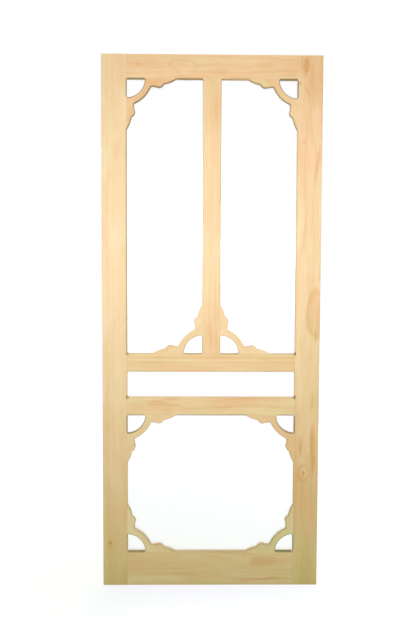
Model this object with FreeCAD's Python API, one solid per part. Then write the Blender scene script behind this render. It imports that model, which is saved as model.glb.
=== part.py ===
import FreeCAD, Part
import os

# Wooden screen door leaf in unfinished pine, in millimetres.
# Two full-height stiles carry four rails and a centre mullion on blind mortise and tenon joints.
# Scroll-sawn brackets fill eight corners, and mitred beads hold insect screens in rabbets on the back.
# X runs from the left stile's outer edge to the right one's, Y from the front face to the back, Z up.
# The origin is on the left outer edge, at the foot of the door and halfway through its thickness.

# The leaf
DOOR_HEIGHT = 2032.0
DOOR_WIDTH = 832.0
DOOR_THICKNESS = 28.6
EDGE_CHAMFER = 1.5

# The boards of the frame
STILE_WIDTH = 94.0
MULLION_WIDTH = 70.0
TOP_RAIL_HEIGHT = 90.0
UPPER_MID_RAIL_HEIGHT = 70.0
LOWER_MID_RAIL_HEIGHT = 70.0
BOTTOM_RAIL_HEIGHT = 132.0

# The openings that are set by themselves; the upper pair take what height is left
LOWER_OPENING_HEIGHT = 537.0
SLOT_HEIGHT = 99.0
ARRIS_CHAMFER = 1.8

# Blind mortise and tenon joints
TENON_THICKNESS = 9.5
RAIL_TENON_LENGTH = 50.0
MULLION_TENON_LENGTH = 25.0
TENON_CLEAR_OF_RABBET = 2.5
STILE_HORN = 25.0
MORTISE_FLOOR_GAP = 2.0

# Screens and the beads that hold them
RABBET_WIDTH = 9.5
RABBET_DEPTH = 11.0
SCREEN_THICKNESS = 0.5
SCREEN_EDGE_GAP = 1.0
SCREEN_CELLS = 12
SCREEN_STRAND = 2.0
BEAD_GAP = 0.2
BEAD_ROUND = 4.0

# Scroll-sawn brackets: U runs along a leg from the frame's corner, V stands out from it
BRACKET_SETBACK = 0.6
BRACKET_LEG = 184.0
TOE_HEIGHT = 2.0
TAIL_LENGTH = 42.0
TAIL_RISE = 16.2
TAIL_BULGE = 2.2
QUIRK_STEP = 2.0
LOBE_WIDTH = 24.0
LOBE_RISE = 10.3
LOBE_BULGE = 5.0
COVE_WIDTH = 25.0
COVE_FALL = 2.0
COVE_DIP = 1.6
ARCH_REACH = 66.0
CORNER_HOLE_RADIUS = 69.5

# How far a cutter runs on past the face that it opens
CUT_PAST = 1.0

# Levels worked out from the sizes above
FRONT = -DOOR_THICKNESS / 2
BACK = DOOR_THICKNESS / 2
RABBET_FLOOR = BACK - RABBET_DEPTH
SCREEN_BACK = RABBET_FLOOR + SCREEN_THICKNESS
TENON_SHOULDER = RABBET_WIDTH + TENON_CLEAR_OF_RABBET

LEFT_SIGHT = STILE_WIDTH
RIGHT_SIGHT = DOOR_WIDTH - STILE_WIDTH
MULLION_LEFT = (DOOR_WIDTH - MULLION_WIDTH) / 2
MULLION_RIGHT = MULLION_LEFT + MULLION_WIDTH

LOWER_MID_BOTTOM = BOTTOM_RAIL_HEIGHT + LOWER_OPENING_HEIGHT
LOWER_MID_TOP = LOWER_MID_BOTTOM + LOWER_MID_RAIL_HEIGHT
UPPER_MID_BOTTOM = LOWER_MID_TOP + SLOT_HEIGHT
UPPER_MID_TOP = UPPER_MID_BOTTOM + UPPER_MID_RAIL_HEIGHT
TOP_RAIL_BOTTOM = DOOR_HEIGHT - TOP_RAIL_HEIGHT

# Each rail: its bottom and top, and how much of its edge is bare below and above the tenon
RAILS = {
    "top_rail": (TOP_RAIL_BOTTOM, DOOR_HEIGHT, TENON_SHOULDER, STILE_HORN),
    "upper_mid_rail": (UPPER_MID_BOTTOM, UPPER_MID_TOP, TENON_SHOULDER, TENON_SHOULDER),
    "lower_mid_rail": (LOWER_MID_BOTTOM, LOWER_MID_TOP, TENON_SHOULDER, TENON_SHOULDER),
    "bottom_rail": (0.0, BOTTOM_RAIL_HEIGHT, STILE_HORN, TENON_SHOULDER),
}

# Each opening as seen from the front: left, right, bottom and top
OPENINGS = {
    "upper_left": (LEFT_SIGHT, MULLION_LEFT, UPPER_MID_TOP, TOP_RAIL_BOTTOM),
    "upper_right": (MULLION_RIGHT, RIGHT_SIGHT, UPPER_MID_TOP, TOP_RAIL_BOTTOM),
    "slot": (LEFT_SIGHT, RIGHT_SIGHT, LOWER_MID_TOP, UPPER_MID_BOTTOM),
    "lower": (LEFT_SIGHT, RIGHT_SIGHT, BOTTOM_RAIL_HEIGHT, LOWER_MID_BOTTOM),
}

# Each bracket: its corner of the frame, and which way its legs run along X and Z
BRACKETS = {
    "bracket_upper_left": (LEFT_SIGHT, TOP_RAIL_BOTTOM, 1, -1),
    "bracket_upper_right": (RIGHT_SIGHT, TOP_RAIL_BOTTOM, -1, -1),
    "bracket_mullion_left": (MULLION_LEFT, UPPER_MID_TOP, -1, 1),
    "bracket_mullion_right": (MULLION_RIGHT, UPPER_MID_TOP, 1, 1),
    "bracket_lower_top_left": (LEFT_SIGHT, LOWER_MID_BOTTOM, 1, -1),
    "bracket_lower_top_right": (RIGHT_SIGHT, LOWER_MID_BOTTOM, -1, -1),
    "bracket_lower_bottom_left": (LEFT_SIGHT, BOTTOM_RAIL_HEIGHT, 1, 1),
    "bracket_lower_bottom_right": (RIGHT_SIGHT, BOTTOM_RAIL_HEIGHT, -1, 1),
}


def box(x_span, y_span, z_span):
    """A block between two values along each axis."""
    corner = FreeCAD.Vector(x_span[0], y_span[0], z_span[0])
    return Part.makeBox(
        x_span[1] - x_span[0], y_span[1] - y_span[0], z_span[1] - z_span[0], corner
    )


def grown(opening, margin):
    """The X and Z spans of an opening with a margin added on every side."""
    left, right, bottom, top = opening
    return (left - margin, right + margin), (bottom - margin, top + margin)


def rectangle(opening, margin, y):
    """A closed rectangular wire round an opening, at one depth in the door."""
    (left, right), (bottom, top) = grown(opening, margin)
    corners = [(left, bottom), (right, bottom), (right, top), (left, top), (left, bottom)]
    return Part.makePolygon([FreeCAD.Vector(x, y, z) for x, z in corners])


def bracket_zone(corner_x, corner_z, way_x, way_z):
    """The corner of an opening that a bracket fills, where the frame's front edges stay square."""
    past = ARRIS_CHAMFER + 2 * CUT_PAST
    x_span = sorted((corner_x - way_x * past, corner_x + way_x * BRACKET_LEG))
    z_span = sorted((corner_z - way_z * past, corner_z + way_z * BRACKET_LEG))
    return box(x_span, (FRONT - past, FRONT + past), z_span)


def opening_cutters():
    """The rabbet behind each opening, and the chamfer round its front edge, stopped at the brackets."""
    zones = [bracket_zone(*place) for place in BRACKETS.values()]
    cutters = []
    for opening in OPENINGS.values():
        x_span, z_span = grown(opening, RABBET_WIDTH)
        cutters.append(box(x_span, (RABBET_FLOOR, BACK + CUT_PAST), z_span))
        outer = rectangle(opening, ARRIS_CHAMFER + CUT_PAST, FRONT - CUT_PAST)
        inner = rectangle(opening, 0.0, FRONT + ARRIS_CHAMFER)
        cutters.append(Part.makeLoft([outer, inner], True, True).cut(zones))
    return cutters


def tenon_span(rail):
    """The heights between which a rail's tenon stands."""
    bottom, top, bare_below, bare_above = RAILS[rail]
    return bottom + bare_below, top - bare_above


TENON_DEPTH = (-TENON_THICKNESS / 2, TENON_THICKNESS / 2)
MULLION_TENON_SPAN = (MULLION_LEFT + TENON_SHOULDER, MULLION_RIGHT - TENON_SHOULDER)
CUTTERS = opening_cutters()


def stile(outer_edge, sight_edge):
    """A full-height upright with a blind mortise for each rail and its outer long edges chamfered."""
    x_span = tuple(sorted((outer_edge, sight_edge)))
    board = box(x_span, (FRONT, BACK), (0.0, DOOR_HEIGHT))
    outer_arrises = [
        edge
        for edge in board.Edges
        if all(abs(vertex.X - outer_edge) < 1e-6 for vertex in edge.Vertexes)
        and abs(edge.Length - DOOR_HEIGHT) < 1e-6
    ]
    board = board.makeChamfer(EDGE_CHAMFER, outer_arrises)
    towards_outside = 1 if outer_edge > sight_edge else -1
    mortise_floor = sight_edge + towards_outside * (RAIL_TENON_LENGTH + MORTISE_FLOOR_GAP)
    mortise_mouth = sight_edge - towards_outside * CUT_PAST
    mortise_x = tuple(sorted((mortise_floor, mortise_mouth)))
    mortises = [box(mortise_x, TENON_DEPTH, tenon_span(rail)) for rail in RAILS]
    return board.cut(mortises + CUTTERS)


def rail(name):
    """A cross board with a tenon at each end, mortised where the mullion stands in it."""
    bottom, top = RAILS[name][:2]
    board = box((LEFT_SIGHT, RIGHT_SIGHT), (FRONT, BACK), (bottom, top))
    tenon_x = (LEFT_SIGHT - RAIL_TENON_LENGTH, RIGHT_SIGHT + RAIL_TENON_LENGTH)
    board = board.fuse(box(tenon_x, TENON_DEPTH, tenon_span(name))).removeSplitter()
    mortise_depth = MULLION_TENON_LENGTH + MORTISE_FLOOR_GAP
    mortise_z = {
        "top_rail": (TOP_RAIL_BOTTOM - CUT_PAST, TOP_RAIL_BOTTOM + mortise_depth),
        "upper_mid_rail": (UPPER_MID_TOP - mortise_depth, UPPER_MID_TOP + CUT_PAST),
    }
    cutters = list(CUTTERS)
    if name in mortise_z:
        cutters.append(box(MULLION_TENON_SPAN, TENON_DEPTH, mortise_z[name]))
    return board.cut(cutters)


def mullion():
    """The upright between the two upper openings, with a stub tenon at each end."""
    board = box((MULLION_LEFT, MULLION_RIGHT), (FRONT, BACK), (UPPER_MID_TOP, TOP_RAIL_BOTTOM))
    tenon_z = (UPPER_MID_TOP - MULLION_TENON_LENGTH, TOP_RAIL_BOTTOM + MULLION_TENON_LENGTH)
    board = board.fuse(box(MULLION_TENON_SPAN, TENON_DEPTH, tenon_z)).removeSplitter()
    return board.cut(CUTTERS)


def bulged(start, end, bulge):
    """Three points of an arc from start to end that stands out to the left of the chord by bulge."""
    run_u = end[0] - start[0]
    run_v = end[1] - start[1]
    chord = (run_u**2 + run_v**2) ** 0.5
    middle = (
        (start[0] + end[0]) / 2 - bulge * run_v / chord,
        (start[1] + end[1]) / 2 + bulge * run_u / chord,
    )
    return [start, middle, end]


def bracket_half_outline():
    """Strokes of the sawn edge from one leg's toe to the middle of the arch, two or three points each."""
    toe_u = BRACKET_LEG
    tail_u = toe_u - TAIL_LENGTH
    tail_top = (tail_u, TOE_HEIGHT + TAIL_RISE)
    lobe_foot = (tail_u - QUIRK_STEP, tail_top[1] + QUIRK_STEP)
    lobe_head = (lobe_foot[0] - LOBE_WIDTH, lobe_foot[1] + LOBE_RISE)
    cove_end = (lobe_head[0] - COVE_WIDTH, lobe_head[1] - COVE_FALL)
    toe = (toe_u, TOE_HEIGHT)
    return [
        [(CORNER_HOLE_RADIUS, 0.0), (toe_u, 0.0)],
        [(toe_u, 0.0), toe],
        bulged(toe, tail_top, -TAIL_BULGE),
        [tail_top, lobe_foot],
        bulged(lobe_foot, lobe_head, -LOBE_BULGE),
        bulged(lobe_head, cove_end, COVE_DIP),
    ]


def bracket_strokes():
    """The whole outline: one half, the arch across the middle, the mirrored half and the corner hole."""
    half = bracket_half_outline()
    mirrored = [[(v, u) for u, v in reversed(stroke)] for stroke in reversed(half)]
    arch_end = half[-1][-1]
    arch = [arch_end, (ARCH_REACH, ARCH_REACH), arch_end[::-1]]
    hole_middle = CORNER_HOLE_RADIUS / 2**0.5
    hole = [(0.0, CORNER_HOLE_RADIUS), (hole_middle, hole_middle), (CORNER_HOLE_RADIUS, 0.0)]
    return half + [arch] + mirrored + [hole]


def bracket(corner_x, corner_z, way_x, way_z):
    """One scroll-sawn bracket, set back from the front and level with the rabbet floor behind."""
    y = FRONT + BRACKET_SETBACK
    edges = []
    for stroke in bracket_strokes():
        points = [FreeCAD.Vector(corner_x + way_x * u, y, corner_z + way_z * v) for u, v in stroke]
        curve = Part.Arc(*points) if len(points) == 3 else Part.LineSegment(*points)
        edges.append(curve.toShape())
    face = Part.Face(Part.Wire(edges))
    return face.extrude(FreeCAD.Vector(0, RABBET_FLOOR - y, 0))


def cells_between(start, end, count):
    """Spans of equal screen cells from one sight line to the other, a strand apart."""
    pitch = (end - start + SCREEN_STRAND) / count
    return [(start + k * pitch, start + (k + 1) * pitch - SCREEN_STRAND) for k in range(count)]


def screen(opening):
    """The insect screen behind one opening, lying on the rabbet floor: a plain grid for its fine weave."""
    x_span, z_span = grown(opening, RABBET_WIDTH - SCREEN_EDGE_GAP)
    sheet = box(x_span, (RABBET_FLOOR, SCREEN_BACK), z_span)
    left, right, bottom, top = opening
    cell = max(right - left, top - bottom) / SCREEN_CELLS
    columns = cells_between(left, right, round((right - left) / cell))
    rows = cells_between(bottom, top, round((top - bottom) / cell))
    through = (RABBET_FLOOR - CUT_PAST, SCREEN_BACK + CUT_PAST)
    return sheet.cut([box(column, through, row) for column in columns for row in rows])


def bead(opening, side):
    """One mitred strip of the frame of beads round an opening, its inner back edge rounded."""
    (out_left, out_right), (out_bottom, out_top) = grown(opening, RABBET_WIDTH - BEAD_GAP)
    left, right, bottom, top = opening
    outlines = {
        "top": [(out_left, out_top), (out_right, out_top), (right, top), (left, top)],
        "bottom": [(out_left, out_bottom), (out_right, out_bottom), (right, bottom), (left, bottom)],
        "left": [(out_left, out_bottom), (out_left, out_top), (left, top), (left, bottom)],
        "right": [(out_right, out_bottom), (out_right, out_top), (right, top), (right, bottom)],
    }
    outline = outlines[side]
    points = [FreeCAD.Vector(x, SCREEN_BACK, z) for x, z in outline + outline[:1]]
    strip = Part.Face(Part.makePolygon(points)).extrude(FreeCAD.Vector(0, BACK - SCREEN_BACK, 0))
    (x_end, z_end), (x_start, z_start) = outline[2:]
    inner_middle = FreeCAD.Vector((x_start + x_end) / 2, BACK, (z_start + z_end) / 2)
    inner_back = min(strip.Edges, key=lambda edge: edge.CenterOfMass.distanceToPoint(inner_middle))
    return strip.makeFillet(BEAD_ROUND, [inner_back])


def door():
    """Every piece of the door by its name."""
    pieces = {
        "left_stile": stile(0.0, LEFT_SIGHT),
        "right_stile": stile(DOOR_WIDTH, RIGHT_SIGHT),
        "mullion": mullion(),
    }
    for name in RAILS:
        pieces[name] = rail(name)
    for name, place in BRACKETS.items():
        pieces[name] = bracket(*place)
    for name, opening in OPENINGS.items():
        pieces["screen_" + name] = screen(opening)
        for side in ("top", "bottom", "left", "right"):
            pieces["bead_" + name + "_" + side] = bead(opening, side)
    return pieces


os.makedirs("parts", exist_ok=True)
for node, shape in door().items():
    solid = shape.Solids[0]
    print(node, "solids", len(shape.Solids), "valid", solid.isValid(), "cm3", round(solid.Volume / 1000, 1))
    solid.exportStep("parts/" + node + ".step")
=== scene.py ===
# %% [markdown]
# # A wooden screen door
# The door leaf is a pine frame with scroll-sawn brackets in its corners, insect screen in its openings and
# small beads that hold the screen from behind. Its boards arrive here at their real size and in their real
# place, so this lesson never moves them. It gives them their finish: the growth rings of planed pine, woven
# wire in place of the screens' plain grids, the brads, and the light and camera to see them by.

# %% Load the door
import math

import bpy
import numpy as np
from mathutils import Matrix, Vector


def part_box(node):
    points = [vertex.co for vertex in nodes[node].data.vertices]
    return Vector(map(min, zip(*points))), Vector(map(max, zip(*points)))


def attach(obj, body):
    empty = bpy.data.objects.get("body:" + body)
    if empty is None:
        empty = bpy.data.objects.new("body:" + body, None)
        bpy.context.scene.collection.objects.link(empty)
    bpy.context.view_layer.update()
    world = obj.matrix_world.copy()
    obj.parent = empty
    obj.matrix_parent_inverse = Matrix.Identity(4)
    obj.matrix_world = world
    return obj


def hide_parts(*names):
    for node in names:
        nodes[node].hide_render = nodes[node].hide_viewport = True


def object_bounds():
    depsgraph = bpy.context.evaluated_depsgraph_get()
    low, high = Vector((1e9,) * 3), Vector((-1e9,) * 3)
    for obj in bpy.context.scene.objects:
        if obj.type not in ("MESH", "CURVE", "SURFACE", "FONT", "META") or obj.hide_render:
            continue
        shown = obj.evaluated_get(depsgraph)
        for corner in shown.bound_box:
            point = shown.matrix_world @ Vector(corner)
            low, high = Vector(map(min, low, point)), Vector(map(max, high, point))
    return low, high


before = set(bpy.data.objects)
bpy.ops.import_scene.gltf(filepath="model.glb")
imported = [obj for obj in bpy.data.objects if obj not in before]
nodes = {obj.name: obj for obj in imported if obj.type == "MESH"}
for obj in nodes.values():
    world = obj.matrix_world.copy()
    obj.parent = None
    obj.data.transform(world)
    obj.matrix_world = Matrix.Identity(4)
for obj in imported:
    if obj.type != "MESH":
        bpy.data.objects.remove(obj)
cad_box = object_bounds()
print("door of", len(nodes), "pieces, box", [tuple(round(c, 4) for c in corner) for corner in cad_box])

# %% [markdown]
# ## Where we stand
# The picture was taken from about three metres away, a little left of the door's middle and a little above
# its centre. Those numbers come from matching the corners of the boards to the picture's corners. A camera is
# turned by a matrix whose columns are its right, its up and the opposite of its view, so we work out those
# three arrows from how far it looks down, looks right and rolls, which is easier to read than Euler angles.

# %% Camera
IMAGE_HEIGHT = 630
FOCAL_LENGTH_IN_PIXELS = 787.6
SENSOR_HEIGHT = 36.0
CAMERA_PLACE = (0.3649, -3.0143, 1.2591)
LOOK_DOWN = math.radians(3.86)
LOOK_RIGHT = math.radians(0.88)
ROLL = math.radians(0.25)


def camera_turn(down, side, roll):
    """The camera's three arrows: the view leans down and to the side, right is level and square to it, up is
    their cross product, and the roll turns right and up together about the view."""
    view = np.array([math.sin(side) * math.cos(down), math.cos(side) * math.cos(down), -math.sin(down)])
    level = np.array([math.cos(side), -math.sin(side), 0.0])
    above = np.cross(level, view)
    right = level * math.cos(roll) + above * math.sin(roll)
    up = above * math.cos(roll) - level * math.sin(roll)
    return Matrix((right, up, -view)).transposed().to_4x4()


lens = bpy.data.cameras.new("portrait_lens")
lens.sensor_fit = "VERTICAL"
lens.sensor_height = SENSOR_HEIGHT
lens.lens = FOCAL_LENGTH_IN_PIXELS / IMAGE_HEIGHT * SENSOR_HEIGHT
camera = bpy.data.objects.new("portrait_camera", lens)
camera.matrix_world = Matrix.Translation(CAMERA_PLACE) @ camera_turn(LOOK_DOWN, LOOK_RIGHT, ROLL)
bpy.context.scene.collection.objects.link(camera)
bpy.context.scene.camera = camera
bpy.context.scene.view_settings.view_transform = "Standard"
print("lens", round(lens.lens, 2), "mm")

# %% [markdown]
# ## Two tools for every material
# Colours are picked as sRGB hex values, as a paint chart gives them, but shaders count light, so one function
# turns them to linear. Node trees get long when each node takes four lines, so one more function adds a node,
# sets it up, fills its sockets with values or links, and hands back its first output.

# %% Colour and node helpers
def linear(hex_colour):
    """An sRGB hex colour as linear RGBA: each channel c is c / 12.92 below 0.04045, and above it
    (c + 0.055) / 1.055 to the power 2.4."""
    srgb = np.array([int(hex_colour[at:at + 2], 16) for at in (1, 3, 5)]) / 255
    light = np.where(srgb <= 0.04045, srgb / 12.92, ((srgb + 0.055) / 1.055) ** 2.4)
    return (*light.tolist(), 1.0)


def add(tree, kind, sockets, **settings):
    """Adds one node. Settings go on the node, sockets are filled by name or by place among the live ones,
    with a value or with another node's output, and the node's first live output comes back."""
    node = tree.nodes.new("ShaderNode" + kind)
    for name, value in settings.items():
        setattr(node, name, value)
    live = [socket for socket in node.inputs if socket.enabled]
    by_name = {socket.name: socket for socket in reversed(live)}
    for key, value in sockets.items():
        socket = live[key] if isinstance(key, int) else by_name[key]
        if isinstance(value, bpy.types.NodeSocket):
            tree.links.new(value, socket)
        else:
            socket.default_value = value
    return next((socket for socket in node.outputs if socket.enabled), None)


def new_material(name):
    """An empty node material and its tree."""
    material = bpy.data.materials.new(name)
    material.use_nodes = True
    material.node_tree.nodes.clear()
    return material, material.node_tree


print("the middle grey of a paint chart is", round(linear("#808080")[0], 3), "in linear light")

# %% [markdown]
# ## Light
# A soft, slightly cool light near the camera at chest height and a warm, dim fill around it make the boards
# brightest at their middle and let them fall off to a warm shade at the foot. One soft lamp and a coloured
# world give just that, at a level where the brightest wood has about the colour that is written in its
# material. Weaker lamps light the back and the sides, where the first can't reach. Those don't show in gloss,
# because the screens' wires would mirror them and hide the brackets from anyone who stands behind the door.

# %% Lamps
DOOR_LEFT, DOOR_RIGHT = cad_box[0].x, cad_box[1].x
DOOR_MIDDLE = (DOOR_LEFT + DOOR_RIGHT) / 2
SIDE_LAMP_DISTANCE = 1.6


def soft_lamp(name, place, target, width, height, power, colour, in_gloss):
    """A rectangular area lamp at place, turned so that its face looks at target and its width stays level."""
    lamp = bpy.data.lights.new(name, "AREA")
    lamp.shape = "RECTANGLE"
    lamp.size = width
    lamp.size_y = height
    lamp.energy = power
    lamp.color = linear(colour)[:3]
    lamp_object = bpy.data.objects.new(name, lamp)
    aim = (Vector(target) - Vector(place)).to_track_quat("-Z", "Y")
    lamp_object.matrix_world = Matrix.Translation(place) @ aim.to_matrix().to_4x4()
    lamp_object.visible_camera = False
    lamp_object.visible_glossy = in_gloss
    bpy.context.scene.collection.objects.link(lamp_object)


soft_lamp(
    "front_softbox", place=(0.40, -1.55, 1.42), target=(DOOR_MIDDLE, 0.0, 1.38),
    width=2.0, height=0.5, power=35.0, colour="#E2E4FF", in_gloss=True,
)
soft_lamp(
    "back_softbox", place=(0.60, 2.60, 1.70), target=(DOOR_MIDDLE, 0.0, 1.05),
    width=1.4, height=1.4, power=28.0, colour="#F0F0FF", in_gloss=False,
)
for name, edge, away in [
    ("left_softbox", DOOR_LEFT, -SIDE_LAMP_DISTANCE), ("right_softbox", DOOR_RIGHT, SIDE_LAMP_DISTANCE),
]:
    soft_lamp(
        name, place=(edge + away, 0.50, 1.20), target=(edge, 0.0, 1.0),
        width=0.6, height=1.6, power=8.0, colour="#F0F0FF", in_gloss=False,
    )

# %% [markdown]
# The world lights the door's front with the warm fill and its back with neutral daylight: the direction's Y
# tells which side a ray comes from. But the lens should see plain white around the object. The Light Path
# node tells these apart: a ray that comes from the camera, or by way of polished metal, gets white, and every
# other ray gets the tone of its side.

# %% World
WARM_FILL = "#969A18"
DAYLIGHT = "#F0F0F8"
DAYLIGHT_FROM = -0.1
DAYLIGHT_FULL = 0.2
WHITE = "#FFFFFF"


def seen_directly(tree):
    """One where a ray comes from the camera, off a gloss or through glass, and zero for the rest."""
    path = add(tree, "LightPath", {}).node.outputs
    shiny = {0: path["Is Glossy Ray"], 1: path["Is Transmission Ray"]}
    shiny = add(tree, "Math", shiny, operation="MAXIMUM")
    return add(tree, "Math", {0: path["Is Camera Ray"], 1: shiny}, operation="MAXIMUM")


world = bpy.data.worlds.new("white_studio")
bpy.context.scene.world = world
world.use_nodes = True
sky = world.node_tree
sky.nodes.clear()
direction = add(sky, "TexCoord", {}).node.outputs["Generated"]
behind = add(sky, "SeparateXYZ", {"Vector": direction}).node.outputs["Y"]
behind = {"Value": behind, "From Min": DAYLIGHT_FROM, "From Max": DAYLIGHT_FULL}
behind = add(sky, "MapRange", behind, interpolation_type="SMOOTHSTEP")
fill_tones = {0: behind, 1: linear(WARM_FILL), 2: linear(DAYLIGHT)}
fill = add(sky, "Mix", fill_tones, data_type="RGBA")
sky_tones = {0: seen_directly(sky), 1: fill, 2: linear(WHITE)}
sky_colour = add(sky, "Mix", sky_tones, data_type="RGBA")
add(sky, "OutputWorld", {"Surface": add(sky, "Background", {"Color": sky_colour})})
print("warm fill", [round(c, 3) for c in linear(WARM_FILL)[:3]])

# %% [markdown]
# ## Floor
# The floor is pale, matt paper. It keeps the door's shadow because part of its brightness is light that it
# scatters, and its own light, which only the lens and the metal see, lifts it to the white of the background.
# It is a disc, a surface of two parameters, angle and radius, so that its far edge looks the same from all
# sides. Two helpers make any such surface: one numbers the faces of a grid, and one puts points and faces
# into a mesh.

# %% Mesh helpers
def grid_faces(rows, columns, wrap):
    """Four-sided faces between the rows and columns of a grid. With wrap, the last column meets the first."""
    row = np.arange(rows - 1)[:, None]
    column = np.arange(columns if wrap else columns - 1)[None, :]
    following = (column + 1) % columns
    corners = [row * columns + column, row * columns + following]
    corners += [(row + 1) * columns + following, (row + 1) * columns + column]
    return np.stack(np.broadcast_arrays(*corners), axis=-1).reshape(-1, 4)


def mesh_object(name, points, faces, material):
    """An object at the origin whose mesh holds the points, an n by 3 array, and the arrays of faces."""
    mesh = bpy.data.meshes.new(name)
    mesh.from_pydata(points.tolist(), [], [face for group in faces for face in group.tolist()])
    mesh.materials.append(material)
    made = bpy.data.objects.new(name, mesh)
    bpy.context.scene.collection.objects.link(made)
    return made


print("a grid of 3 by 4 points has", len(grid_faces(3, 4, wrap=False)), "faces")

# %% Pale paper floor
FLOOR_RADIUS = 14.0
FLOOR_RINGS = 6
FLOOR_SPOKES = 48
FLOOR_PAPER = "#869740"
FLOOR_LIFT = "#E8E2FF"
FLOOR_LIFT_NEAR = 0.92
FLOOR_LIFT_FAR = 1.15
FLOOR_NEAR = 3.0
FLOOR_MOTTLE = 0.040
FLOOR_MOTTLE_LOW = 0.97


def oval_cone(tree, coords, place, half_sizes, turn=(0.0, 0.0, 0.0)):
    """One at place, falling evenly to zero at the rim of an oval with these half sizes: a spherical gradient
    in a space that is squeezed to the oval."""
    oval = {"Vector": coords, "Location": place, "Rotation": turn, "Scale": half_sizes}
    oval = add(tree, "Mapping", oval, vector_type="TEXTURE")
    cone = add(tree, "TexGradient", {"Vector": oval}, gradient_type="SPHERICAL")
    return cone.node.outputs["Fac"]


def paper_floor():
    """Matt paper with a faint mottle, plus its own light for the lens, a little weaker near the door."""
    material, tree = new_material("matt_paper_floor")
    coords = add(tree, "TexCoord", {}).node.outputs["Object"]
    mottle = add(tree, "TexNoise", {"Vector": coords, "Scale": 1 / FLOOR_MOTTLE, "Detail": 3.0})
    tone = add(tree, "MapRange", {"Value": mottle, "To Min": FLOOR_MOTTLE_LOW})
    colour = {0: linear(FLOOR_PAPER)[:3], "Scale": tone}
    colour = add(tree, "VectorMath", colour, operation="SCALE")
    paper = add(tree, "BsdfDiffuse", {"Color": colour})
    near = oval_cone(tree, coords, (0.0, 0.0, 0.0), (FLOOR_NEAR,) * 3)
    own = {"Value": near, "To Min": FLOOR_LIFT_FAR, "To Max": FLOOR_LIFT_NEAR}
    own = add(tree, "MapRange", own)
    lift = add(tree, "Math", {0: seen_directly(tree), 1: own}, operation="MULTIPLY")
    own_light = add(tree, "Emission", {"Color": linear(FLOOR_LIFT), "Strength": lift})
    both = add(tree, "AddShader", {0: paper, 1: own_light})
    add(tree, "OutputMaterial", {"Surface": both})
    return material


def floor_disc(radius, rings, spokes):
    """A point at radius r and angle a lies at (r cos a, r sin a, 0). The inmost ring shares one centre."""
    r = np.linspace(radius / rings, radius, rings)[:, None]
    a = np.linspace(0, 2 * np.pi, spokes, endpoint=False)[None, :]
    points = np.stack([r * np.cos(a), r * np.sin(a), 0 * r * a], axis=-1).reshape(-1, 3)
    spoke = np.arange(spokes)
    centre = np.stack([spoke, (spoke + 1) % spokes, 0 * spoke + len(points)], axis=-1)
    outer = grid_faces(rings, spokes, wrap=True)[:, ::-1]
    return np.vstack([points, [[0.0, 0.0, 0.0]]]), [outer, centre]


floor_points, floor_faces = floor_disc(FLOOR_RADIUS, FLOOR_RINGS, FLOOR_SPOKES)
floor = mesh_object("studio_floor", floor_points, floor_faces, paper_floor())
print("floor faces", len(floor.data.polygons))

# %% [markdown]
# ## Planed pine
# The boards are clear pine, planed and left bare: pale straw with rosy patches, soft darker lines where the
# late wood of each year meets the surface, and a dull sheen. A picture of wood would slide over the corners,
# so the wood is worked out in three dimensions, as the saw meets it. Every board is a piece of a tree: its
# growth rings are cylinders about a pith line that lies outside the board and wanders a little, and any face
# cut through them shows the right figure, with flames on the face and arcs on the end grain.
#
# A material takes the board's place and grain direction from the frame. The Mapping node in texture mode
# takes a point of the door back into the board: it subtracts the board's middle, undoes its turn and divides
# by a millimetre, so that every later number is a plain size. In that space Z runs along the grain, X across
# the face and Y through the board. A second Mapping node does the same for the pith line, and its huge Z
# scale flattens the point onto the end of the log, so that its length is the distance from the pith.

# %% From the door into the log
MM = 0.001
NOISE_MIDDLE = 0.5
WANDER_LENGTH = 420.0
RIPPLE_ACROSS = 60.0
RIPPLE_ALONG = 190.0
FLATTEN = 1e6


def grain_noise(tree, vector, across, along, shift=(0.0, 0.0, 0.0), detail=2.0):
    """Noise whose features are about across wide and along long, in millimetres of the board's own space.
    The shift, counted in features, gives each board a part of the noise for itself."""
    steps = {0: vector, 1: (1 / across, 1 / across, 1 / along), 2: shift}
    steps = add(tree, "VectorMath", steps, operation="MULTIPLY_ADD")
    return add(tree, "TexNoise", {"Vector": steps, "Scale": 1.0, "Detail": detail}).node.outputs


def board_space(tree, coords, board, seed):
    """The point in the board's own space, and the point where that wood grew: the pith wanders from side to
    side over some decimetres, and the rings ripple over some centimetres."""
    place = add(tree, "Mapping", {
        "Vector": coords, "Location": board["middle"],
        "Rotation": (0.0, board["turn"], 0.0), "Scale": (MM,) * 3,
    }, vector_type="TEXTURE")
    wander = grain_noise(tree, place, math.inf, WANDER_LENGTH, (seed, 0.0, 0.0), detail=1.0)["Color"]
    bent = {0: wander, 1: (*board["wander"], 0.0), 2: place}
    bent = add(tree, "VectorMath", bent, operation="MULTIPLY_ADD")
    ripple = grain_noise(tree, place, RIPPLE_ACROSS, RIPPLE_ALONG, (0.0, seed, 0.0))["Color"]
    grown = {0: ripple, 1: (board["ripple"],) * 3, 2: bent}
    return place, add(tree, "VectorMath", grown, operation="MULTIPLY_ADD")


def pith_distance(tree, grown, board):
    """The distance from the pith line, in millimetres."""
    from_pith = add(tree, "Mapping", {
        "Vector": grown, "Location": (*board["pith"], 0.0), "Scale": (1.0, 1.0, FLATTEN),
    }, vector_type="TEXTURE")
    return add(tree, "VectorMath", {0: from_pith}, operation="LENGTH")


print("the pith wanders over", WANDER_LENGTH, "mm, the rings ripple over", RIPPLE_ALONG, "mm")

# %% [markdown]
# A knot or a dip in the log pushes the rings about it and darkens the wood. Such a figure is an oval hump, a
# cone that is smoothed. A slow noise bends the space first, because no figure in wood has a clean outline.
# Then the distance from the pith is cut into years. Each year darkens slowly from early to late wood and
# stops at once, years differ in strength, and runs of good or poor years form broader bands.

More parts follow.
